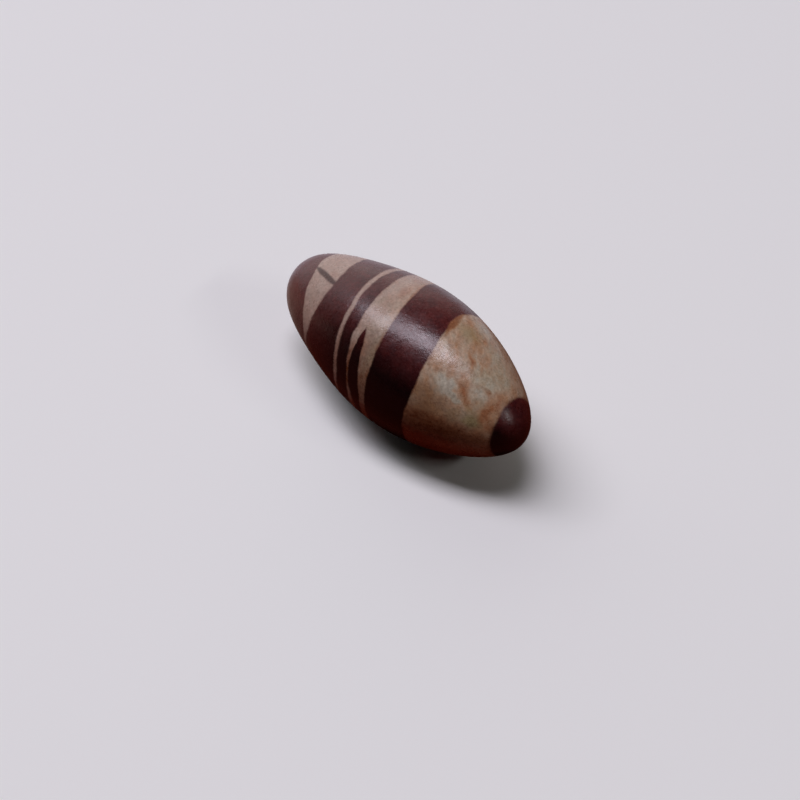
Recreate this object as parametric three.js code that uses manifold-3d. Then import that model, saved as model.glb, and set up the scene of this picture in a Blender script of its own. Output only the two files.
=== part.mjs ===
// A shiva lingam stone: one river-worn piece of banded jasper, rubbed smooth by hand into a long egg,
// lying on its side. Millimetres, +Z up. +X points along the stone to its narrower end, the one with the
// dark tip. The origin is on the surface that the stone rests on, under the middle of its bounding box.
import * as THREE from "three";
import { mergeVertices } from "three/addons/utils/BufferGeometryUtils.js";
import Module from "manifold-3d";

const LENGTH = 78; // from end to end
const GIRTH = 35.8; // diameter of the ellipsoid that the egg departs from
// The egg's half-width is an ellipse's, times this polynomial of s, which runs from -1 at the blunt end
// to 1 at the tip.
const TAPER = [1, 0.073, -0.24, -0.17, 0.212];
const REST_SPOT_DEPTH = 0.5; // how far the worn spot underneath cuts into the round

// Broad swells that hand grinding left: each rises and sinks `around` times round the girth, at the
// angle `turn` first, and makes `along` half-waves from end to end.
const SWELLS = [
  { height: 0.16, around: 2, turn: 0.5, along: 1 },
  { height: 0.11, around: 3, turn: 2.1, along: 2 },
  { height: 0.08, around: 5, turn: 4.0, along: 3 },
];

const DETAIL = 15; // each edge of the icosahedron that the egg starts from is split DETAIL times
const WELD = 1e-4; // vertices closer than this are one vertex
const JASPER = { color: 0x6a4f43, roughness: 0.4, metalness: 0 };

const wasm = await Module();
wasm.setup();

function taperAt(s) {
  return TAPER.reduceRight((sum, coefficient) => sum * s + coefficient, 0);
}

function swellAt(s, angle) {
  return SWELLS.reduce((sum, { height, around, turn, along }) => {
    const fade = Math.sin((along * Math.PI * (s + 1)) / 2);
    return sum + height * Math.cos(around * (angle - turn)) * fade;
  }, 0);
}

// Moves a point of the unit ball's surface to where it is on the stone.
function shapePoint(point) {
  const { x: s, y, z } = point;
  const swell = swellAt(s, Math.atan2(z, y));
  const halfWidth = (GIRTH / 2 + swell) * taperAt(s);
  return point.set((LENGTH / 2) * s, halfWidth * y, halfWidth * z);
}

function eggGeometry() {
  const geometry = new THREE.IcosahedronGeometry(1, DETAIL);
  const positions = geometry.getAttribute("position");
  const point = new THREE.Vector3();
  for (let i = 0; i < positions.count; i++) {
    point.fromBufferAttribute(positions, i).normalize();
    positions.setXYZ(i, ...shapePoint(point));
  }
  return geometry;
}

// A block whose top face lies at the given height, wide and deep enough to take off everything below.
function blockBelow(height) {
  const block = new THREE.BoxGeometry(2 * LENGTH, 2 * GIRTH, GIRTH);
  return block.translate(0, 0, height - GIRTH / 2);
}

function solidFrom(geometry) {
  const bare = geometry.clone().deleteAttribute("normal").deleteAttribute("uv");
  const welded = mergeVertices(bare, WELD);
  const mesh = new wasm.Mesh({
    numProp: 3,
    vertProperties: new Float32Array(welded.getAttribute("position").array),
    triVerts: new Uint32Array(welded.index.array),
  });
  return new wasm.Manifold(mesh);
}

function geometryFrom(solid) {
  const { vertProperties, triVerts } = solid.getMesh();
  const geometry = new THREE.BufferGeometry();
  geometry.setAttribute("position", new THREE.BufferAttribute(vertProperties, 3));
  geometry.setIndex(new THREE.BufferAttribute(triVerts, 1));
  geometry.computeVertexNormals();
  return geometry;
}

// The egg with its worn spot, moved so that the spot lies on z = 0 and the box's middle is over the origin.
function stoneGeometry() {
  const egg = eggGeometry();
  egg.computeBoundingBox();
  const cut = solidFrom(blockBelow(egg.boundingBox.min.z + REST_SPOT_DEPTH));
  const stone = geometryFrom(solidFrom(egg).subtract(cut));
  stone.computeBoundingBox();
  const { min, max } = stone.boundingBox;
  return stone.translate(-(min.x + max.x) / 2, -(min.y + max.y) / 2, -min.z);
}

const stone = new THREE.Mesh(stoneGeometry(), new THREE.MeshStandardMaterial(JASPER));
stone.name = "stone";

const lingam = new THREE.Group();
lingam.add(stone);

export default lingam;
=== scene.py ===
"""A shiva lingam stone: a river-worn egg of banded jasper, rubbed to a satin polish, on its side.

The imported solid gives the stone's place and form. This script makes its fine surface, the bands
that run through it, its mottled colours and its polish, and sets it on a pale floor in soft studio
light.
"""

from __future__ import annotations

import logging
import math
from dataclasses import asdict, dataclass, field

import bpy
from mathutils import Matrix, Vector

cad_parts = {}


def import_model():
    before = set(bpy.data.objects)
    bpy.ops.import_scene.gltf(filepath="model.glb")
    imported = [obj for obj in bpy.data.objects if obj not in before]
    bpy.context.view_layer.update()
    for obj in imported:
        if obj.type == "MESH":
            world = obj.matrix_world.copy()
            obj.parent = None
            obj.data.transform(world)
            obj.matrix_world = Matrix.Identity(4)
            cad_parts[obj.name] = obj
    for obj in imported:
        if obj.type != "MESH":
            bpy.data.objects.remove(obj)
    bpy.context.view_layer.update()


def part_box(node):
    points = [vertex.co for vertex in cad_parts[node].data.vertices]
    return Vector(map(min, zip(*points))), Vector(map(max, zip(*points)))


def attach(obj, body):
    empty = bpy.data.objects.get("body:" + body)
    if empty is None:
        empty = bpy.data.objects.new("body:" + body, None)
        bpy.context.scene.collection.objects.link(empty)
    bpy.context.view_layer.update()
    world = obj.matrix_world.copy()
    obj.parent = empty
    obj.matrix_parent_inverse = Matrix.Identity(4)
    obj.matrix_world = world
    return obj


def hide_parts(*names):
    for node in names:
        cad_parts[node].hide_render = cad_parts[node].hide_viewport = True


MM = 0.001
NODE_NAME = "stone"
BODY_NAME = "root"
AXIS_HEIGHT = 17.6  # mm from the floor to the stone's long axis
GIRTH_RADIUS = 18.0  # mm from that axis to the surface at the stone's waist

NOISE_SWING = 0.25  # how far a noise's colour swings either way from its middle
PATCH_RAGGEDNESS = 1.5  # how far noise moves a patch's edge, as a share of the patch's half size
BARE_LEVEL = 0.72  # noise is above this almost nowhere
COVERED_LEVEL = 0.28  # noise is above this almost everywhere
GRAIN_LEVELS = (0.25, 0.75)  # the noise levels between which the grain runs from 0 to 1
HUMP_RADIUS = 0.7  # of a pebbled surface's humps, as a share of their size

Colour = tuple[float, float, float]
Socket = bpy.types.NodeSocket
Sockets = bpy.types.bpy_prop_collection
Tree = bpy.types.NodeTree
Value = float | Socket


# ----------------------------------------------------------
# Wiring shader nodes
# ----------------------------------------------------------


@dataclass(frozen=True)
class Fade:
    """A soft change. There is none of it at start or beyond, and all of it at full or beyond."""

    start: float
    full: float


class Wiring:
    """Adds nodes to one node tree and links them, so that a material reads as a list of steps."""

    def __init__(self, tree: Tree) -> None:
        """Starts on an empty tree.

        Args:
            tree: the node tree of a material, a world or a group.
        """
        self.tree = tree
        tree.nodes.clear()

    def node(self, kind: str, **settings: object) -> bpy.types.Node:
        """Adds one node.

        Args:
            kind: the node's type, without the ShaderNode that its name begins with.
            settings: attributes of the node to set.

        Returns:
            The new node.
        """
        made = self.tree.nodes.new("ShaderNode" + kind)
        for name, value in settings.items():
            setattr(made, name, value)
        return made

    def feed(self, socket: Socket, value: object) -> None:
        """Links a socket into another, or sets that other's own value."""
        if isinstance(value, bpy.types.NodeSocket):
            self.tree.links.new(value, socket)
        elif socket.type == "RGBA" and len(value) == 3:
            socket.default_value = (*value, 1.0)
        else:
            socket.default_value = value

    def fill(self, made: bpy.types.Node, values: dict[str | int, object]) -> bpy.types.Node:
        """Feeds a node's inputs, each by its name or its number, and returns the node."""
        for key, value in values.items():
            self.feed(made.inputs[key], value)
        return made

    def math(self, operation: str, *values: Value) -> Socket:
        """Returns the result of a Math node on up to three values."""
        made = self.node("Math", operation=operation)
        return self.fill(made, dict(enumerate(values))).outputs[0]

    def vector(self, operation: str, *values: object, scale: Value | None = None) -> Socket:
        """Returns the result of a Vector Math node on up to three vectors."""
        made = self.fill(self.node("VectorMath", operation=operation), dict(enumerate(values)))
        if scale is not None:
            self.feed(made.inputs["Scale"], scale)
        return made.outputs["Value" if operation in ("DOT_PRODUCT", "LENGTH") else "Vector"]

    def split(self, place: Socket) -> tuple[Socket, Socket, Socket]:
        """Returns the three parts of a vector."""
        return tuple(self.fill(self.node("SeparateXYZ"), {0: place}).outputs)

    def measured(self, place: Socket, size: Value) -> Socket:
        """Returns a place in units of size."""
        return self.vector("SCALE", place, scale=self.math("DIVIDE", 1.0, size))

    def most(self, first: Socket, *others: Socket) -> Socket:
        """Returns the highest of several values."""
        for other in others:
            first = self.math("MAXIMUM", first, other)
        return first

    def smooth(self, value: Socket, low: Value, high: Value) -> Socket:
        """Returns 0 at low or beyond, 1 at high or beyond, and a smooth step between."""
        made = self.node("MapRange", interpolation_type="SMOOTHSTEP")
        return self.fill(made, {"Value": value, "From Min": low, "From Max": high}).outputs[0]

    def fade(self, value: Socket, fade: Fade) -> Socket:
        """Returns how much of a soft change there is at a value, from 0 to 1."""
        return self.smooth(value, fade.start, fade.full)

    def spread(self, value: Socket, low: Value, high: Value) -> Socket:
        """Returns value, which runs from 0 to 1, carried over to run from low to high."""
        made = self.node("MapRange")
        return self.fill(made, {"Value": value, "To Min": low, "To Max": high}).outputs[0]

    def mapping(self, kind: str, place: Socket, **values: object) -> Socket:
        """Returns a place scaled, turned and moved, in that order, or all undone with TEXTURE."""
        made = self.node("Mapping", vector_type=kind)
        named = {name.capitalize(): value for name, value in values.items()}
        return self.fill(made, {"Vector": place, **named}).outputs[0]

    def sway(self, noise: Socket, reach: float, about: Value) -> Socket:
        """Returns about, moved by a noise: by nothing where it is 0.5, and half of reach at 1."""
        return self.math("MULTIPLY_ADD", self.math("SUBTRACT", noise, 0.5), reach, about)

    def blend(self, share: Value, low: Value, high: Value) -> Socket:
        """Returns low where share is 0, high where it is 1, and a mixture between."""
        made = self.node("Mix", data_type="FLOAT")
        return self.fill(made, {0: share, 2: low, 3: high}).outputs[0]

    def mix(self, share: Value, under: object, over: object, blend: str = "MIX") -> Socket:
        """Returns the colour over laid on the colour under, by share."""
        made = self.node("Mix", data_type="RGBA", blend_type=blend)
        return self.fill(made, {0: share, 6: under, 7: over}).outputs[2]

    def tinge(self, mask: Socket, share: Value, under: object, over: object) -> Socket:
        """Returns the colour over laid on the colour under, by share where the mask is full."""
        return self.mix(self.math("MULTIPLY", mask, share), under, over)

    def ramp(self, value: Socket, stops: tuple[tuple[float, Colour], ...]) -> Socket:
        """Returns a colour that follows value through stops, each a place and its colour."""
        made = self.node("ValToRGB")
        elements = made.color_ramp.elements
        for _ in stops[2:]:
            elements.new(0.5)
        for element, (at, colour) in zip(elements, stops):
            element.position = at
            element.color = (*colour, 1.0)
        self.feed(made.inputs[0], value)
        return made.outputs[0]

    def noise(
        self, place: Socket, detail: float, roughness: float, size: float = 1.0
    ) -> bpy.types.Node:
        """Returns a noise node whose blobs are about size across, in the unit of place."""
        values = {"Vector": place, "Scale": 1 / size, "Detail": detail, "Roughness": roughness}
        return self.fill(self.node("TexNoise"), values)

    def group(self, tree: Tree, **values: object) -> Socket:
        """Places a node group that puts out one thing.

        Args:
            tree: the group.
            values: its inputs by name, with _ for a space.

        Returns:
            What the group puts out.
        """
        named = {name.replace("_", " ").capitalize(): value for name, value in values.items()}
        return self.fill(self.node("Group", node_tree=tree), named).outputs[0]


def new_group(
    name: str, vectors: tuple[str, ...], numbers: tuple[str, ...], gives: str, kind: str = "Float"
) -> tuple[Wiring, Sockets, Socket]:
    """Starts a shader node group that puts out one thing.

    Args:
        name: the group's name.
        vectors: the names of the vectors that go in.
        numbers: the names of the numbers that go in.
        gives: the name of what it puts out.
        kind: whether that is a Float or a Vector.

    Returns:
        The group's wiring, the sockets that bring its inputs in, and the one that takes its output.
    """
    tree = bpy.data.node_groups.new(name, "ShaderNodeTree")
    wiring = Wiring(tree)
    for type_name, titles in (("Vector", vectors), ("Float", numbers)):
        for title in titles:
            tree.interface.new_socket(title, in_out="INPUT", socket_type="NodeSocket" + type_name)
    tree.interface.new_socket(gives, in_out="OUTPUT", socket_type="NodeSocket" + kind)
    entry = tree.nodes.new("NodeGroupInput")
    leave = tree.nodes.new("NodeGroupOutput")
    return wiring, entry.outputs, leave.inputs[0]


# ----------------------------------------------------------
# Effects that the stone's finish is put together from
# ----------------------------------------------------------


def wander_group() -> Tree:
    """Makes the group that shifts places by noise, so that what is drawn there is ragged.

    Returns:
        The group: Place, the Size of the wander's blobs and the Reach of its shift go in, and
        Place comes out.
    """
    wiring, entry, leave = new_group("Wander", ("Place",), ("Size", "Reach"), "Place", "Vector")
    noise = wiring.noise(wiring.measured(entry["Place"], entry["Size"]), detail=1.0, roughness=0.5)
    centred = wiring.vector("SUBTRACT", noise.outputs["Color"], (0.5, 0.5, 0.5))
    reach = wiring.math("MULTIPLY", entry["Reach"], 1 / NOISE_SWING)
    shift = wiring.vector("SCALE", centred, scale=reach)
    wiring.feed(leave, wiring.vector("ADD", entry["Place"], shift))
    return wiring.tree


def band_edge_group() -> Tree:
    """Makes the group that measures how far a place lies past one edge of a band.

    Returns:
        The group: Place and the edge's At, Lean back, Lean up, Bow and Twist go in, and Past comes
        out, in mm.
    """
    numbers = ("At", "Lean back", "Lean up", "Bow", "Twist")
    wiring, entry, leave = new_group("Band edge", ("Place",), numbers, "Past")
    along, back, up = wiring.split(entry["Place"])
    back_squared = wiring.math("MULTIPLY", back, back)
    squares = wiring.math("SUBTRACT", back_squared, wiring.math("MULTIPLY", up, up))
    product = wiring.math("MULTIPLY", wiring.math("MULTIPLY", back, up), 2.0)
    edge = entry["At"]
    for share, name in ((back, "Lean back"), (up, "Lean up")):
        edge = wiring.math("MULTIPLY_ADD", share, entry[name], edge)
    for share, name in ((squares, "Bow"), (product, "Twist")):
        share = wiring.math("DIVIDE", share, GIRTH_RADIUS**2)
        edge = wiring.math("MULTIPLY_ADD", share, entry[name], edge)
    wiring.feed(leave, wiring.math("SUBTRACT", along, edge))
    return wiring.tree


def vein_group() -> Tree:
    """Makes the group that measures how deep a place lies in a flat vein, thickest in its middle.

    Returns:
        The group: Place, the vein's Middle, the way it is Facing, its Thickness and its Reach go
        in, and Inside comes out, in mm, above 0 in the vein.
    """
    vectors, numbers = ("Place", "Middle", "Facing"), ("Thickness", "Reach")
    wiring, entry, leave = new_group("Vein", vectors, numbers, "Inside")
    away = wiring.vector("SUBTRACT", entry["Place"], entry["Middle"])
    facing = wiring.vector("NORMALIZE", entry["Facing"])
    off = wiring.math("ABSOLUTE", wiring.vector("DOT_PRODUCT", away, facing))
    share = wiring.math("DIVIDE", wiring.vector("LENGTH", away), entry["Reach"])
    taper = wiring.math("SUBTRACT", 1.0, wiring.math("MULTIPLY", share, share))
    half = wiring.math("MULTIPLY", wiring.math("MULTIPLY", entry["Thickness"], 0.5), taper)
    wiring.feed(leave, wiring.math("SUBTRACT", half, off))
    return wiring.tree


def patch_group() -> Tree:
    """Makes the group that masks one oval patch on the stone's skin, with a soft, uneven edge.

    Returns:
        The group: Skin, the patch's Middle, its half Size along and around, its Tilt, its Edge and
        the Noise that breaks that edge go in, and Mask comes out. Edge is the share of its size
        over which it fades.
    """
    vectors, numbers = ("Skin", "Middle", "Size", "Tilt"), ("Edge", "Noise")
    wiring, entry, leave = new_group("Patch", vectors, numbers, "Mask")
    oval = {"location": entry["Middle"], "rotation": entry["Tilt"], "scale": entry["Size"]}
    off = wiring.vector("LENGTH", wiring.mapping("TEXTURE", entry["Skin"], **oval))
    uneven = wiring.sway(entry["Noise"], -PATCH_RAGGEDNESS, off)
    inner = wiring.math("SUBTRACT", 1.0, entry["Edge"])
    outer = wiring.math("ADD", 1.0, entry["Edge"])
    wiring.feed(leave, wiring.smooth(uneven, outer, inner))
    return wiring.tree


def mottle_group() -> Tree:
    """Makes the group that masks blotches of one size, drawn out one way.

    Returns:
        The group: Place, Size, Stretch, Cover and Edge go in, and Mask comes out. Stretch is how
        many times longer the blotches are along each axis, Cover the share that they cover, and
        Edge their softness.
    """
    vectors, numbers = ("Place", "Stretch"), ("Size", "Cover", "Edge")
    wiring, entry, leave = new_group("Mottle", vectors, numbers, "Mask")
    finer = wiring.measured(entry["Place"], entry["Size"])
    drawn = wiring.vector("DIVIDE", finer, entry["Stretch"])
    noise = wiring.noise(drawn, detail=3.0, roughness=0.6)
    least = wiring.spread(entry["Cover"], BARE_LEVEL, COVERED_LEVEL)
    low = wiring.math("SUBTRACT", least, entry["Edge"])
    high = wiring.math("ADD", least, entry["Edge"])
    wiring.feed(leave, wiring.smooth(noise.outputs["Fac"], low, high))
    return wiring.tree


def grain_group() -> Tree:
    """Makes the group for the stone's fine grain.

    Returns:
        The group: Place and Size go in, and Grain comes out, about 0 to 1 with its middle at 0.5.
    """
    wiring, entry, leave = new_group("Grain", ("Place",), ("Size",), "Grain")
    finer = wiring.measured(entry["Place"], entry["Size"])
    noise = wiring.noise(finer, detail=2.0, roughness=0.65)
    wiring.feed(leave, wiring.smooth(noise.outputs["Fac"], *GRAIN_LEVELS))
    return wiring.tree


def pebble_group() -> Tree:
    """Makes the group for the small round humps of a stone that was polished by tumbling.

    Returns:
        The group: Place and Size go in, and Height comes out, 1 on top of each hump and 0 between.
    """
    wiring, entry, leave = new_group("Pebble", ("Place",), ("Size",), "Height")
    scale = wiring.math("DIVIDE", 1.0, entry["Size"])
    cells = wiring.node("TexVoronoi", feature="F1")
    wiring.fill(cells, {"Vector": entry["Place"], "Scale": scale})
    wiring.feed(leave, wiring.smooth(cells.outputs["Distance"], HUMP_RADIUS, 0.0))
    return wiring.tree


# ----------------------------------------------------------
# The markings
# ----------------------------------------------------------


@dataclass(frozen=True)
class Edge:
    """Where a band begins or ends: a tilted, slightly bent sheet that crosses the whole stone.

    at is where it meets the long axis, in mm from the stone's middle. lean_back and lean_up are the
    mm that it gains along the stone for each mm towards the back and upwards. bow and twist bend
    it, in mm at the skin.
    """

    at: float
    lean_back: float
    lean_up: float
    bow: float
    twist: float


@dataclass(frozen=True)
class Band:
    """A dark band, from one edge to the next.

    The blunt end's cap has no start, and the tip's has no end.
    """

    start: Edge | None
    end: Edge | None


@dataclass(frozen=True)
class Vein:
    """A thin dark sheet of mineral between two bands. middle, thickness and reach are in mm."""

    middle: tuple[float, float, float]
    facing: tuple[float, float, float]
    thickness: float
    reach: float


@dataclass(frozen=True, kw_only=True)
class Spot:
    """An oval place on the skin, with an uneven edge.

    at is its place, in mm along the stone from the middle, and in degrees round it from the top
    towards the back. size is half its length along and half its width around, in mm, and tilt turns
    it, in degrees. edge is the share of that size over which it fades.
    """

    at: tuple[float, float]
    size: tuple[float, float]
    tilt: float = 0.0
    edge: float = 0.7


@dataclass(frozen=True, kw_only=True)
class Patch(Spot):
    """A patch of the light jasper in another colour.

    tone shifts its colour, towards sage above 0 and towards rust below 0. moss is how far it turns
    to a mossy khaki, and shade how much it darkens towards umber: a darker stain in small spots, and
    painted shade in the broad patches down the lower front.
    """

    tone: float = 0.0
    moss: float = 0.0
    shade: float = 0.0


@dataclass(frozen=True, kw_only=True)
class Bulge(Spot):
    """A place where a dark band's edge is pushed outwards, or where push is below 0 in, in mm."""

    push: float


@dataclass(frozen=True)
class Wander:
    """A raggedness: the size of its blobs and how far it shifts things, in mm."""

    size: float
    reach: float


@dataclass(frozen=True)
class Mottling:
    """One kind of blotches.

    size is in mm, cover the share that they cover, edge their softness, share how far they change
    the colour, and stretch how many times longer they are along each axis.
    """

    size: float
    cover: float
    edge: float
    share: float
    stretch: tuple[float, float, float] = (1.0, 1.0, 1.0)


BANDS = (
    Band(None, Edge(-26.7, -0.239, -0.201, 2.39, 0.33)),
    Band(Edge(-21.92, -0.124, 0.052, -1.1, -0.46), Edge(-10.85, -0.186, -0.102, 0.08, 0.14)),
    Band(Edge(-9.61, -0.163, -0.087, 0.29, 0.08), Edge(-6.0, -0.19, -0.094, -0.23, 0.35)),
    Band(Edge(-0.66, 0.036, 0.019, 0.0, 2.23), Edge(-1.63, -0.055, -0.067, 2.76, 0.28)),
    Band(Edge(0.44, -0.24, -0.058, -0.74, -0.33), Edge(13.88, -0.097, -0.055, 0.17, -1.44)),
    Band(Edge(34.4, -0.095, -0.074, 0.48, -0.11), None),
)

BULGES = (
    Bulge(at=(-5.0, -49), size=(1.1, 2.2), push=-0.3),
    Bulge(at=(-1.9, -51), size=(1.5, 4.6), push=0.62),
    Bulge(at=(-2.8, -87), size=(1.5, 6.4), push=0.4, edge=0.35),
    Bulge(at=(11.0, 22), size=(2.4, 5.0), push=-0.75),
    Bulge(at=(-20.5, 9), size=(1.6, 3.5), push=0.35),
    Bulge(at=(-28.0, -22), size=(1.6, 2.6), push=0.3),
    Bulge(at=(12.5, 120), size=(2.2, 3.0), push=0.7),
    Bulge(at=(-13.0, 140), size=(1.8, 4.0), push=-0.5),
)

VEINS = (
    Vein(middle=(-23.8, -4.25, 12.25), facing=(0.139, 0.908, 0.395), thickness=1.6, reach=6.3),
    Vein(middle=(-25.0, 9.0, -11.0), facing=(0.3, -0.5, 0.8), thickness=0.9, reach=5.5),
    Vein(middle=(20.0, 9.0, -13.0), facing=(0.2, 0.7, 0.6), thickness=0.6, reach=7.0),
)

PATCHES = (
    # sage, grey and khaki
    Patch(at=(21.3, -37.5), size=(2.5, 2.3), tilt=-20, tone=0.42),
    Patch(at=(22.6, -30.5), size=(1.7, 1.6), tilt=30, tone=0.2),
    Patch(at=(24.7, -43), size=(1.8, 1.0), tilt=-20, tone=0.34, moss=0.2),
    Patch(at=(27.0, -2), size=(2.6, 4.2), tone=0.2, moss=0.3),
    Patch(at=(28.3, 14), size=(2.6, 4.5), tone=0.14, moss=0.25),
    Patch(at=(24.8, 28), size=(3.8, 3.6), tone=0.24, moss=0.2),
    Patch(at=(24.3, 10), size=(2.2, 2.4), tone=0.14),
    Patch(at=(22.6, 5.0), size=(3.4, 0.55), tilt=-42, tone=0.24),
    Patch(at=(27.9, -31), size=(3.2, 0.6), tilt=-60, tone=0.15),
    Patch(at=(29.0, -22), size=(1.4, 1.7), tone=0.26),
    Patch(at=(29.4, -33), size=(1.2, 2.4), tone=0.05, moss=0.25),
    Patch(at=(29.3, -45), size=(1.7, 2.2), moss=0.5),
    Patch(at=(30.4, -57), size=(1.7, 2.8), moss=1.0, shade=0.14),
    Patch(at=(26.4, -59), size=(1.9, 2.8), moss=0.4, shade=0.26),
    Patch(at=(16.3, 19), size=(3.0, 2.6), moss=0.6, shade=0.06),
    Patch(at=(16.8, 39), size=(3.2, 2.8), tone=0.2),
    Patch(at=(16.9, -64), size=(1.2, 1.4), tone=0.15),
    Patch(at=(-23.6, -43), size=(2.4, 2.6), tone=0.1, moss=0.25),
    Patch(at=(-5.9, 0), size=(1.1, 5.5), tone=0.2),
    Patch(at=(1.0, -34), size=(2.2, 4.5), tone=0.22),
    Patch(at=(2.0, -58), size=(1.2, 5.5), tone=0.25, moss=0.6),
    # brown and rust
    Patch(at=(25.7, -30.5), size=(2.7, 1.0), tilt=-60, tone=-0.3, shade=0.08, edge=0.8),
    Patch(at=(27.8, -40), size=(1.8, 0.9), tilt=-55, tone=-0.18),
    Patch(at=(29.4, -12.5), size=(0.8, 1.1), tone=-0.3, shade=0.34),
    Patch(at=(22.0, -1), size=(2.8, 0.6), tilt=-42, tone=-0.26, shade=0.08),
    Patch(at=(18.0, 17), size=(2.6, 0.6), tilt=-35, tone=-0.2, shade=0.1),
    Patch(at=(19.5, 28), size=(2.2, 0.6), tilt=-50, tone=-0.2, shade=0.08),
    Patch(at=(32.6, -34), size=(1.8, 12.5), tone=-0.3),
    Patch(at=(31.6, -43), size=(0.9, 2.4), tone=-0.2),
    Patch(at=(11.6, 15), size=(4.8, 0.85), tilt=-72, tone=-0.45, shade=0.42),
    Patch(at=(-0.7, 14), size=(5.5, 0.8), tilt=-72, tone=-0.3),
    # Painted shade: these broad patches darken the lower front and its foot towards umber, where shade
    # falls.
    Patch(at=(19.4, -59), size=(5.2, 4.4), tone=-0.12, moss=0.3, shade=0.48),
    Patch(at=(0.8, -56), size=(2.6, 7.5), tone=0.1, shade=0.5),
    Patch(at=(22.5, -80), size=(11.0, 4.4), tone=-0.2, shade=0.84),
    Patch(at=(2.4, -73), size=(2.4, 6.0), shade=0.7),
    Patch(at=(-3.7, -65), size=(1.0, 3.4), tone=-0.3, shade=0.62),
    Patch(at=(-2.9, -78), size=(1.4, 4.6), shade=0.95),
    Patch(at=(-7.4, -70), size=(2.0, 6.0), tone=-0.2, shade=0.42),
    Patch(at=(-22.0, -12), size=(1.2, 1.0), tone=-0.3),
    Patch(at=(-2.4, -22), size=(1.8, 4.2), moss=0.3, shade=0.16),
    Patch(at=(-5.2, -12), size=(0.9, 2.0), tilt=-30, moss=0.7),
    Patch(at=(-3.0, 8), size=(1.0, 2.4), tilt=20, tone=-0.35),
    # the back and the underside
    Patch(at=(19.0, 78), size=(4.5, 3.2), tilt=-40, tone=0.26),
    Patch(at=(26.5, 100), size=(4.6, 1.3), tilt=-60, tone=-0.3, shade=0.1),
    Patch(at=(30.6, 118), size=(1.6, 4.6), tone=0.2),
    Patch(at=(23.0, 140), size=(4.6, 2.6), tilt=-35, tone=0.24, shade=0.1),
    Patch(at=(18.0, 165), size=(2.2, 2.6), tone=-0.25, shade=0.15),
    Patch(at=(28.5, -135), size=(4.0, 2.6), tilt=-50, tone=0.22),
    Patch(at=(19.5, -110), size=(3.4, 4.0), tone=-0.16, shade=0.15),
    Patch(at=(24.0, -160), size=(3.8, 1.0), tilt=-60, tone=-0.3, shade=0.12),
    Patch(at=(-1.5, 100), size=(1.6, 5.0), tone=0.2),
    Patch(at=(-1.6, 62), size=(1.0, 3.6), tilt=25, tone=-0.4, shade=0.16),
    Patch(at=(-3.4, 84), size=(0.8, 2.6), moss=0.8),
    Patch(at=(0.4, 128), size=(1.0, 3.4), tilt=-20, tone=-0.35, shade=0.22),
    Patch(at=(-25.0, 74), size=(1.1, 2.8), tilt=30, tone=-0.4, shade=0.2),
    Patch(at=(-23.5, 104), size=(1.2, 3.0), tone=0.3, moss=0.5),
)


# ----------------------------------------------------------
# The finish
# ----------------------------------------------------------


class StoneWiring(Wiring):
    """The wiring of the stone's material, which can also place the effects and the markings."""

    def __init__(self, tree: Tree) -> None:
        """Starts on an empty tree, and makes the group of each effect.

        Args:
            tree: the material's node tree.
        """
        super().__init__(tree)
        self.wander_tree = wander_group()
        self.edge_tree = band_edge_group()
        self.vein_tree = vein_group()
        self.patch_tree = patch_group()
        self.mottle_tree = mottle_group()
        self.grain_tree = grain_group()
        self.pebble_tree = pebble_group()

    def ragged(self, place: Socket, *wanders: Wander) -> Socket:
        """Returns a place shifted by one wander after another."""
        for wander in wanders:
            place = self.group(self.wander_tree, place=place, **asdict(wander))
        return place

    def in_band(self, place: Socket, band: Band) -> Socket:
        """Returns how deep a place lies in a band, in mm, and below 0 outside it."""
        sides = []
        if band.start:
            sides.append(self.group(self.edge_tree, place=place, **asdict(band.start)))
        if band.end:
            past_end = self.group(self.edge_tree, place=place, **asdict(band.end))
            sides.append(self.math("MULTIPLY", past_end, -1.0))
        return sides[0] if len(sides) == 1 else self.math("MINIMUM", *sides)

    def in_vein(self, place: Socket, vein: Vein) -> Socket:
        """Returns how deep a place lies in a vein, in mm, and below 0 outside it."""
        return self.group(self.vein_tree, place=place, **asdict(vein))

    def spot(self, skin: Socket, spot: Spot, noise: Value = 0.5) -> Socket:
        """Returns the mask of a spot. Its edge is broken by the noise, and even at 0.5."""
        along, turn = spot.at
        return self.group(
            self.patch_tree,
            skin=skin,
            middle=(along, math.radians(turn) * GIRTH_RADIUS, 0),
            size=(*spot.size, 1),
            tilt=(0, 0, math.radians(spot.tilt)),
            edge=spot.edge,
            noise=noise,
        )

    def mottled(self, place: Socket, kind: Mottling, under: object, over: object) -> Socket:
        """Returns the colour under with blotches of the colour over."""
        settings = asdict(kind)
        share = settings.pop("share")
        mask = self.group(self.mottle_tree, place=place, **settings)
        return self.tinge(mask, share, under, over)

    def grain(self, place: Socket, size: float) -> Socket:
        """Returns a grain of one size, from 0 to 1."""
        return self.group(self.grain_tree, place=place, size=size)

    def pebbles(self, place: Socket, size: float) -> Socket:
        """Returns the height of humps of one size, from 0 to 1."""
        return self.group(self.pebble_tree, place=place, size=size)


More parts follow.
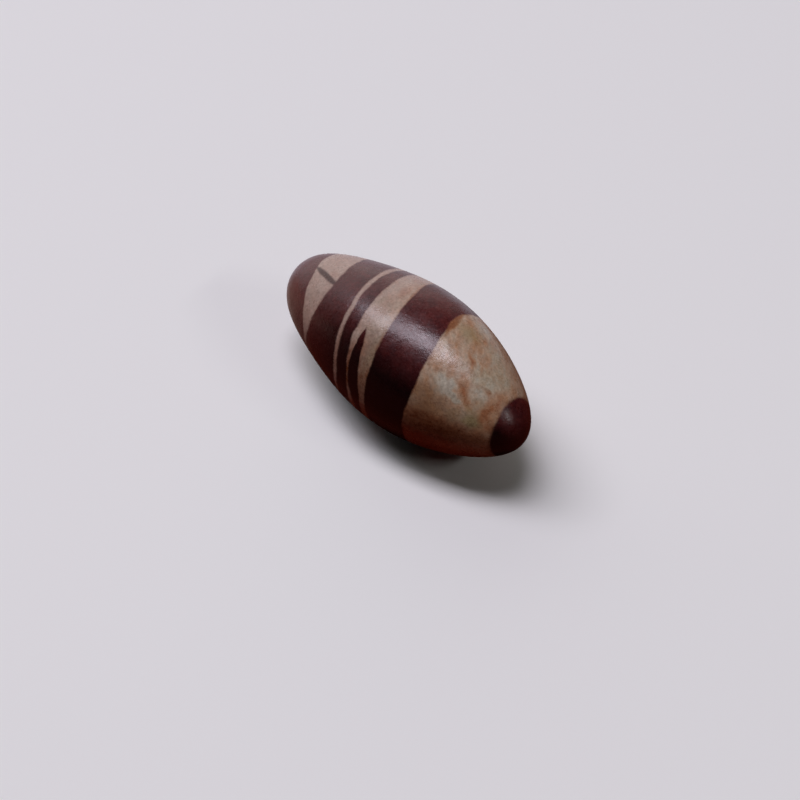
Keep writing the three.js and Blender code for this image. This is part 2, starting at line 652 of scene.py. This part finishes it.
@dataclass(frozen=True)
class Jasper:
    """The stone's finish: light marbled jasper crossed by dark maroon bands, with a satin polish.

    Sizes are in mm. Places along the stone are counted from its middle towards the tip, and places
    around it on the skin, from the top towards the back.
    """

    # The light jasper. A tone from 0 to 1 picks its colour from the marbling.
    marbling: tuple[tuple[float, Colour], ...] = (
        (0.10, (0.34, 0.142, 0.062)),
        (0.32, (0.42, 0.240, 0.132)),
        (0.50, (0.465, 0.314, 0.204)),
        (0.68, (0.485, 0.378, 0.262)),
        (0.90, (0.52, 0.465, 0.358)),
    )
    middle_tone: float = 0.48
    cloud_reach: float = 0.8  # how far the large clouds move the tone
    fine_cloud_reach: float = 0.6  # how far the small clouds do
    fine_share: float = 0.35  # of the small clouds in what breaks the patches' edges
    fabric_turn: float = -43.0  # degrees from the long axis to where the marbling is drawn out
    fabric_stretch: float = 1.8
    moss: Colour = (0.32, 0.252, 0.125)
    # umber: the colour of the streaks, and of patch shade, which down the lower front is painted shade.
    umber: Colour = (0.145, 0.045, 0.015)
    streaks: Mottling = Mottling(size=0.9, cover=0.35, edge=0.15, share=0.24, stretch=(1.8, 1.0, 1.0))
    shade_range: tuple[float, float] = (0.3, 1.7)  # what the small clouds multiply shade by
    shell: Colour = (0.360, 0.252, 0.214)
    shell_end: Fade = Fade(9.0, -9.0)  # along the stone
    shell_share: float = 0.7
    rust: Colour = (0.19, 0.068, 0.030)
    rust_rim: Fade = Fade(-1.1, 0.1)  # by the depth in the dark jasper
    rust_clouds: Fade = Fade(0.58, 0.36)  # by the large clouds
    rust_shares: tuple[float, float] = (0.9, 0.15)  # at the tip, and where the jasper is shell

    # The dark jasper. Its painted shade darkens it almost to black down the front and the back, where
    # shade falls.
    maroon: Colour = (0.084, 0.0102, 0.0090)
    plum: Colour = (0.054, 0.0074, 0.0080)
    plums: Mottling = Mottling(size=4.0, cover=0.5, edge=0.2, share=1.0, stretch=(1.0, 1.5, 1.5))
    ember: Colour = (0.110, 0.0195, 0.0165)
    embers: Mottling = Mottling(size=1.2, cover=0.4, edge=0.1, share=0.5)
    ember_end: Fade = Fade(-6.0, -34.0)  # along the stone
    ember_share: float = 0.6
    fleck: Colour = (0.13, 0.07, 0.075)
    flecks: Mottling = Mottling(size=0.6, cover=0.14, edge=0.06, share=0.34)
    # Painted shade: the near-black colour that the dark jasper darkens to down the front and underneath,
    # and where it does so.
    depth: Colour = (0.0065, 0.001, 0.0012)
    depth_along: Fade = Fade(-29.0, -3.0)
    depth_front: Fade = Fade(-8.0, -20.5)
    depth_back: Fade = Fade(31.0, 47.0)
    tip_depth: float = 0.45  # the even painted shade on the axis, where front and back meet
    tip_round: Fade = Fade(0.5, 6.0)  # by the distance from the axis

    # Where the two meet.
    meeting: Fade = Fade(-0.34, 0.34)  # by the depth in the dark jasper, or in a vein
    vein: Colour = (0.078, 0.032, 0.024)
    skin_wander: Wander = Wander(size=2.4, reach=0.5)
    band_wanders: tuple[Wander, ...] = (
        Wander(size=7.0, reach=0.25),
        Wander(size=1.8, reach=0.1),
        Wander(size=0.6, reach=0.035),
    )
    vein_wander: Wander = Wander(size=5.0, reach=0.25)

    # The surface.
    speck_reach: float = 0.55  # how far specks change the colour's level
    grain_range: tuple[float, float] = (0.88, 1.12)  # what the grain multiplies the colour by
    roughness: float = 0.30
    blotch_reach: float = 0.2  # how far blotches change the roughness
    grain_reach: float = 0.08  # how far the grain does
    gloss: float = 0.53
    ripple_height: float = 0.07
    grain_height: float = 0.013
    pebble_height: float = 0.007

    bands: tuple[Band, ...] = BANDS
    bulges: tuple[Bulge, ...] = BULGES
    veins: tuple[Vein, ...] = VEINS
    patches: tuple[Patch, ...] = PATCHES

    def material(self) -> bpy.types.Material:
        """Makes the material.

        Returns:
            A material that reads Object coordinates alone.
        """
        made = bpy.data.materials.new("Banded jasper")
        made.use_nodes = True
        wiring = StoneWiring(made.node_tree)
        place = self._place(wiring)
        skin = self._skin(wiring, place)
        grain = wiring.grain(place, size=0.55)
        inside = self._inside_dark(wiring, place, skin)
        vein = wiring.fade(self._inside_veins(wiring, place), self.meeting)
        light = wiring.mix(vein, self._light(wiring, place, skin, inside), self.vein)
        dark = self._dark(wiring, place, skin)
        colour = wiring.mix(wiring.fade(inside, self.meeting), light, dark)
        values = {
            "Base Color": self._speckled(wiring, place, grain, colour),
            "Roughness": self._dullness(wiring, place, grain),
            "Specular IOR Level": self.gloss,
            "Normal": self._relief(wiring, place),
        }
        shader = wiring.fill(wiring.node("BsdfPrincipled"), values)
        wiring.fill(wiring.node("OutputMaterial"), {"Surface": shader.outputs[0]})
        return made

    def _place(self, wiring: Wiring) -> Socket:
        """Returns the place in mm from the middle of the stone's long axis."""
        source = wiring.node("TexCoord").outputs["Object"]
        to_mm = (1 / MM, 1 / MM, 1 / MM)
        return wiring.mapping("POINT", source, scale=to_mm, location=(0, 0, -AXIS_HEIGHT))

    def _skin(self, wiring: StoneWiring, place: Socket) -> Socket:
        """Returns the place on the skin, a little ragged: mm along the stone, then around it."""
        along, back, up = wiring.split(wiring.ragged(place, self.skin_wander))
        around = wiring.math("MULTIPLY", wiring.math("ARCTAN2", back, up), GIRTH_RADIUS)
        return wiring.fill(wiring.node("CombineXYZ"), {0: along, 1: around}).outputs[0]

    def _inside_dark(self, wiring: StoneWiring, place: Socket, skin: Socket) -> Socket:
        """Returns how deep a place lies in the dark jasper, in mm, and below 0 outside it."""
        ragged = wiring.ragged(place, *self.band_wanders)
        inside = wiring.most(*[wiring.in_band(ragged, band) for band in self.bands])
        for bulge in self.bulges:
            mask = wiring.spot(skin, bulge)
            inside = wiring.math("MULTIPLY_ADD", mask, bulge.push, inside)
        return inside

    def _inside_veins(self, wiring: StoneWiring, place: Socket) -> Socket:
        """Returns how deep a place lies in a vein, in mm, and below 0 outside the veins."""
        bent = wiring.ragged(place, self.vein_wander)
        return wiring.most(*[wiring.in_vein(bent, vein) for vein in self.veins])

    def _light(self, wiring: StoneWiring, place: Socket, skin: Socket, inside: Socket) -> Socket:
        """Returns the colour of the light jasper: marbling, patches, painted shade down the lower front,
        and rust beside the bands.
        """
        fabric = self._fabric(wiring, place)
        cloud = wiring.noise(fabric, detail=3.0, roughness=0.5, size=3.6).outputs["Fac"]
        fine_cloud = wiring.noise(fabric, detail=3.0, roughness=0.55, size=1.2).outputs["Fac"]
        tone = wiring.sway(cloud, self.cloud_reach, self.middle_tone)
        tone = wiring.sway(fine_cloud, self.fine_cloud_reach, tone)
        noise = wiring.blend(self.fine_share, cloud, fine_cloud)
        mosses, shades = [], []
        for patch in self.patches:
            mask = wiring.spot(skin, patch, noise)
            if patch.tone:
                tone = wiring.math("MULTIPLY_ADD", mask, patch.tone, tone)
            for share, parts in ((patch.moss, mosses), (patch.shade, shades)):
                if share:
                    parts.append(wiring.math("MULTIPLY", mask, share))
        colour = wiring.ramp(tone, self.marbling)
        colour = wiring.mix(wiring.most(*mosses), colour, self.moss)
        colour = wiring.mottled(fabric, self.streaks, colour, self.umber)
        along, _, _ = wiring.split(place)
        pale = wiring.fade(along, self.shell_end)
        colour = wiring.tinge(pale, self.shell_share, colour, self.shell)
        # Patch shade, painted shade in the broad patches down the lower front, mixes towards umber,
        # mottled by the small clouds.
        unevenness = wiring.spread(fine_cloud, *self.shade_range)
        colour = wiring.tinge(wiring.most(*shades), unevenness, colour, self.umber)
        rim = wiring.fade(inside, self.rust_rim)
        share = wiring.spread(pale, *self.rust_shares)
        share = wiring.math("MULTIPLY", wiring.fade(cloud, self.rust_clouds), share)
        return wiring.tinge(rim, share, colour, self.rust)

    def _fabric(self, wiring: Wiring, place: Socket) -> Socket:
        """Returns the place turned and drawn out the way that the marbling runs."""
        turn = (0, 0, math.radians(self.fabric_turn))
        stretch = (self.fabric_stretch, 1, 1)
        return wiring.mapping("TEXTURE", place, rotation=turn, scale=stretch)

    def _dark(self, wiring: StoneWiring, place: Socket, skin: Socket) -> Socket:
        """Returns the colour of the dark jasper.

        It is maroon and plum, with redder mottles and paler flecks. It turns redder towards the
        blunt end, and away from that end painted shade makes it almost black down the front and
        underneath.
        """
        along, around, _ = wiring.split(skin)
        colour = wiring.mottled(place, self.plums, self.maroon, self.plum)
        colour = wiring.mottled(place, self.embers, colour, self.ember)
        blunt = wiring.fade(along, self.ember_end)
        colour = wiring.tinge(blunt, self.ember_share, colour, self.ember)
        colour = wiring.mottled(place, self.flecks, colour, self.fleck)
        # Painted shade: darker down the front and underneath, and evenly where the skin meets the axis at
        # the ends.
        front = wiring.fade(around, self.depth_front)
        back = wiring.fade(around, self.depth_back)
        off_axis = wiring.vector("LENGTH", wiring.vector("MULTIPLY", place, (0, 1, 1)))
        sides = wiring.fade(off_axis, self.tip_round)
        painted_shade_mask = wiring.blend(sides, self.tip_depth, wiring.most(front, back))
        return wiring.tinge(painted_shade_mask, wiring.fade(along, self.depth_along), colour, self.depth)

    def _speckled(self, wiring: Wiring, place: Socket, grain: Socket, colour: Socket) -> Socket:
        """Returns a colour made uneven by the grain and by larger, fainter specks."""
        specks = wiring.noise(place, detail=2.0, roughness=0.5, size=1.0).outputs["Fac"]
        level = wiring.sway(specks, self.speck_reach, 1.0)
        level = wiring.math("MULTIPLY", level, wiring.spread(grain, *self.grain_range))
        grey = wiring.node("CombineColor")
        for socket in grey.inputs:
            wiring.feed(socket, level)
        return wiring.mix(1.0, colour, grey.outputs[0], blend="MULTIPLY")

    def _dullness(self, wiring: Wiring, place: Socket, grain: Socket) -> Socket:
        """Returns the roughness: the polish is uneven in blotches, and from grain to grain."""
        blotches = wiring.noise(place, detail=2.0, roughness=0.5, size=2.6).outputs["Fac"]
        uneven = wiring.sway(blotches, self.blotch_reach, self.roughness)
        return wiring.sway(grain, self.grain_reach, uneven)

    def _relief(self, wiring: StoneWiring, place: Socket) -> Socket:
        """Returns the normal with the ripples, the grain and the round pebbling of the polish."""
        ripples = wiring.noise(place, detail=1.0, roughness=0.4, size=2.2).outputs["Fac"]
        normal = None
        for height, tallest in (
            (ripples, self.ripple_height),
            (wiring.grain(place, size=0.8), self.grain_height),
            (wiring.pebbles(place, size=0.55), self.pebble_height),
        ):
            values = {"Height": height, "Distance": tallest * MM}
            bump = wiring.fill(wiring.node("Bump"), values)
            if normal:
                wiring.feed(bump.inputs["Normal"], normal)
            normal = bump.outputs["Normal"]
        return normal


@dataclass(frozen=True)
class PaleFloor:
    """The floor's finish: a plain matt white, which throws back other light than the camera sees.

    To the stone it throws back returned, which is dim and warm. From near to far, in metres along
    the way towards, that grows to full light: warm in front of the stone, and pale behind it. Full
    light comes from its left alone, all of it from side metres out. turn is half of how far warm
    takes to pass into pale, in metres.
    """

    white: Colour = (0.905, 0.915, 0.875)
    returned: Colour = (0.105, 0.011, 0.004)
    warm: Colour = (0.56, 0.38, 0.28)
    pale: Colour = (0.85, 0.82, 0.82)
    towards: tuple[float, float, float] = (-0.65, 0.76, 0.0)
    near: float = 0.008
    far: float = 0.034
    side: float = 0.03
    turn: float = 0.012
    roughness: float = 0.9
    gloss: float = 0.1

    def material(self) -> bpy.types.Material:
        """Makes the material.

        Returns:
            A material that is white where the camera sees it.
        """
        made = bpy.data.materials.new("Pale floor")
        made.use_nodes = True
        wiring = Wiring(made.node_tree)
        place = wiring.node("TexCoord").outputs["Object"]
        right, back, _ = wiring.split(place)
        way = wiring.vector("DOT_PRODUCT", place, self.towards)
        leftwards = wiring.smooth(right, 0.0, -self.side)
        lit = wiring.math("MULTIPLY", wiring.smooth(way, self.near, self.far), leftwards)
        full = wiring.mix(wiring.smooth(back, -self.turn, self.turn), self.warm, self.pale)
        thrown = wiring.mix(lit, self.returned, full)
        seen = wiring.node("LightPath").outputs["Is Camera Ray"]
        values = {
            "Base Color": wiring.mix(seen, thrown, self.white),
            "Roughness": self.roughness,
            "Specular IOR Level": self.gloss,
        }
        shader = wiring.fill(wiring.node("BsdfPrincipled"), values)
        wiring.fill(wiring.node("OutputMaterial"), {"Surface": shader.outputs[0]})
        return made


# ----------------------------------------------------------
# The stone
# ----------------------------------------------------------


def select_only(thing: bpy.types.Object) -> None:
    """Makes one object the only selected one, and the active one."""
    bpy.ops.object.select_all(action="DESELECT")
    thing.select_set(True)
    bpy.context.view_layer.objects.active = thing


def apply_modifier(thing: bpy.types.Object, kind: str, **settings: object) -> None:
    """Adds a modifier, sets it and applies it.

    Args:
        thing: the object.
        kind: the modifier's type.
        settings: its attributes.
    """
    select_only(thing)
    modifier = thing.modifiers.new(kind.title(), kind)
    for name, value in settings.items():
        setattr(modifier, name, value)
    bpy.ops.object.modifier_apply(modifier=modifier.name)


@dataclass
class Stone:
    """The stone's fine surface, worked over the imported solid. Lengths are in mm.

    cuts and rounds set how fine the mesh is: a cube's edge is split cuts + 1 times, and again in
    two at each of the rounds.
    """

    cuts: int = 30
    rounds: int = 2
    wear_size: float = 5.5
    wear_depth: float = 0.05
    finish: Jasper = field(default_factory=Jasper)

    def build(self) -> bpy.types.Object:
        """Models the stone and dresses it.

        Returns:
            The finished piece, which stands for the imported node.
        """
        form = self._form()
        stone = self._ball()
        apply_modifier(stone, "SHRINKWRAP", target=form, wrap_method="NEAREST_SURFACEPOINT")
        bpy.data.objects.remove(form)
        apply_modifier(stone, "SMOOTH", factor=0.5, iterations=4)
        self._wear(stone)
        select_only(stone)
        bpy.ops.object.shade_smooth()
        stone.data.materials.clear()
        stone.data.materials.append(self.finish.material())
        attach(stone, BODY_NAME)
        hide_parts(NODE_NAME)
        return stone

    def _form(self) -> bpy.types.Object:
        """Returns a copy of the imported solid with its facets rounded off, to work over."""
        source = bpy.data.objects[NODE_NAME]
        form = bpy.data.objects.new("form", source.data.copy())
        bpy.context.scene.collection.objects.link(form)
        select_only(form)
        bpy.ops.object.mode_set(mode="EDIT")
        bpy.ops.mesh.select_all(action="SELECT")
        bpy.ops.mesh.remove_doubles(threshold=0.01 * MM)
        bpy.ops.mesh.normals_make_consistent(inside=False)
        bpy.ops.object.mode_set(mode="OBJECT")
        apply_modifier(form, "SUBSURF", levels=2, render_levels=2)
        return form

    def _ball(self) -> bpy.types.Object:
        """Returns a cube blown up into a ball, and drawn out to the stone's box."""
        low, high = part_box(NODE_NAME)
        bpy.ops.object.select_all(action="DESELECT")
        bpy.ops.mesh.primitive_cube_add(size=2)
        ball = bpy.context.object
        ball.name = ball.data.name = "lingam"
        bpy.ops.object.mode_set(mode="EDIT")
        bpy.ops.mesh.subdivide(number_cuts=self.cuts)
        bpy.ops.object.mode_set(mode="OBJECT")
        apply_modifier(ball, "CAST", cast_type="SPHERE", factor=1.0, radius=1.0, use_radius_as_size=False)
        apply_modifier(ball, "SUBSURF", levels=self.rounds, render_levels=self.rounds)
        drawn_out = Matrix.Diagonal((*(high - low) / 2, 1))
        ball.data.transform(Matrix.Translation((low + high) / 2) @ drawn_out)
        return ball

    def _wear(self, stone: bpy.types.Object) -> None:
        """Works the low hollows that the grinding left into the surface."""
        clouds = bpy.data.textures.new("Grinding", "CLOUDS")
        clouds.noise_scale = self.wear_size * MM
        clouds.noise_depth = 1
        apply_modifier(
            stone,
            "DISPLACE",
            texture=clouds,
            texture_coords="LOCAL",
            strength=self.wear_depth * MM,
            mid_level=1.0,
        )


# ----------------------------------------------------------
# The studio
# ----------------------------------------------------------


@dataclass(frozen=True)
class Lamp:
    """A soft strip light that faces the stone.

    stand is where it hangs, in metres from the stone's middle, and runs the way that its long side
    points. width and length are in metres, and tint is its colour.
    """

    name: str
    stand: tuple[float, float, float]
    runs: tuple[float, float, float]
    width: float
    length: float
    watts: float
    tint: Colour = (1.0, 1.0, 1.0)

    def hang(self, target: Vector) -> None:
        """Adds the light to the scene, facing the target."""
        light = bpy.data.lights.new(self.name, "AREA")
        light.shape = "RECTANGLE"
        light.size = self.width
        light.size_y = self.length
        light.energy = self.watts
        light.color = self.tint
        holder = bpy.data.objects.new(self.name, light)
        bpy.context.scene.collection.objects.link(holder)
        stand = Vector(self.stand)
        holder.matrix_world = placed(target + stand, stand, across=Vector(self.runs).cross(stand))
        holder.visible_camera = False


COOL = (0.97, 0.92, 1.05)
ALONG_STONE = (0.876, 0.298, 0.386)  # the way that the lamps above run
FRONT_TO_BACK = (-0.24, 0.965, -0.1)

LAMPS = (
    Lamp("key", (-0.678, -0.20, 1.876), ALONG_STONE, width=0.66, length=2.2, watts=26.9, tint=COOL),
    Lamp("crown", (-0.30, -0.10, 1.97), ALONG_STONE, width=0.60, length=0.8, watts=4.6, tint=COOL),
    Lamp("side", (1.141, 0.242, 0.911), FRONT_TO_BACK, width=0.07, length=0.5, watts=1.8),
)


@dataclass(frozen=True, kw_only=True)
class Glow:
    """A soft round part of the room's light.

    towards is the way to its middle. full and none are the cosines of the angles from there at
    which it begins to fade, and has faded. tint is its colour.
    """

    towards: tuple[float, float, float]
    full: float
    none: float
    strength: float
    tint: Colour = (1.0, 1.0, 1.0)


GLOWS = (
    Glow(towards=(-0.935, 0.34, 0.11), full=0.98, none=0.62, strength=0.95),
    Glow(
        towards=(-0.42, 0.90, 0.09), full=0.966, none=0.766, strength=0.26, tint=(1.0, 0.6, 0.55)
    ),
)


@dataclass(frozen=True)
class Room:
    """The room's light: bright behind the stone, to its left, and dark in front.

    The camera sees it plain.
    """

    glows: tuple[Glow, ...] = GLOWS
    seen: Colour = (1.0, 1.0, 1.0)

    def build(self) -> None:
        """Makes the world and gives it to the scene."""
        world = bpy.data.worlds.new("Room")
        world.use_nodes = True
        wiring = Wiring(world.node_tree)
        outlook = wiring.vector("NORMALIZE", wiring.node("TexCoord").outputs["Generated"])
        light = (0.0, 0.0, 0.0)
        for glow in self.glows:
            cosine = wiring.vector("DOT_PRODUCT", outlook, Vector(glow.towards).normalized())
            round_part = wiring.smooth(cosine, glow.none, glow.full)
            part = wiring.math("MULTIPLY", round_part, glow.strength)
            light = wiring.vector("ADD", light, wiring.vector("SCALE", glow.tint, scale=part))
        seen = wiring.node("LightPath").outputs["Is Camera Ray"]
        values = {"Color": wiring.mix(seen, light, self.seen), "Strength": 1.0}
        background = wiring.fill(wiring.node("Background"), values)
        wiring.fill(wiring.node("OutputWorld"), {"Surface": background.outputs[0]})
        bpy.context.scene.world = world


@dataclass
class Studio:
    """The pale floor, the lamps, the room's light and the camera.

    Azimuths are in degrees round from -Y towards +X, and heights in degrees above the stone's
    middle. The camera stands at the first pair, and looks back along the second.
    """

    floor_side: float = 6.0  # metres
    lens: float = 115.45  # mm
    film_width: float = 36.0  # mm
    camera_distance: float = 618.7  # mm from the middle of the stone
    camera_azimuth: float = 46.34
    camera_height: float = 45.0
    look_azimuth: float = 46.565
    look_height: float = 46.03
    sight: float = 50.0  # metres that the camera sees

    def build(self) -> None:
        """Sets up everything around the stone."""
        self._floor()
        Room().build()
        target = Vector((0, 0, AXIS_HEIGHT * MM))
        for lamp in LAMPS:
            lamp.hang(target)
        self._camera(target)
        bpy.context.scene.view_settings.view_transform = "Standard"

    def _floor(self) -> None:
        """Lays the floor."""
        bpy.ops.object.select_all(action="DESELECT")
        bpy.ops.mesh.primitive_plane_add(size=self.floor_side)
        floor = bpy.context.object
        floor.name = "floor"
        floor.data.materials.append(PaleFloor().material())

    def _camera(self, target: Vector) -> None:
        """Places the camera, level, with the stone a little off the middle of the picture."""
        camera = bpy.data.cameras.new("camera")
        camera.lens = self.lens
        camera.sensor_width = self.film_width
        camera.clip_end = self.sight
        holder = bpy.data.objects.new("camera", camera)
        bpy.context.scene.collection.objects.link(holder)
        outwards = direction(self.camera_azimuth, self.camera_height)
        back = direction(self.look_azimuth, self.look_height)
        stand = target + outwards * self.camera_distance * MM
        holder.matrix_world = placed(stand, back, across=Vector((0, 0, 1)).cross(back))
        bpy.context.scene.camera = holder


def direction(azimuth: float, height: float) -> Vector:
    """Returns the unit vector at an azimuth from -Y towards +X and a height, in degrees."""
    turn, rise = math.radians(azimuth), math.radians(height)
    level = math.cos(rise)
    return Vector((math.sin(turn) * level, -math.cos(turn) * level, math.sin(rise)))


def placed(stand: Vector, back: Vector, across: Vector) -> Matrix:
    """Returns the place of a lamp or camera that faces away from back, with its X along across."""
    back, across = back.normalized(), across.normalized()
    turned = Matrix((across, back.cross(across), back)).transposed()
    return Matrix.Translation(stand) @ turned.to_4x4()


def main() -> None:
    """Builds the stone and its studio, and reports what was made."""
    logging.basicConfig(level=logging.INFO, format="%(message)s")
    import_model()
    Studio().build()
    stone = Stone().build()
    logging.info("%s: %d faces", stone.name, len(stone.data.polygons))


if __name__ == "__main__":
    main()
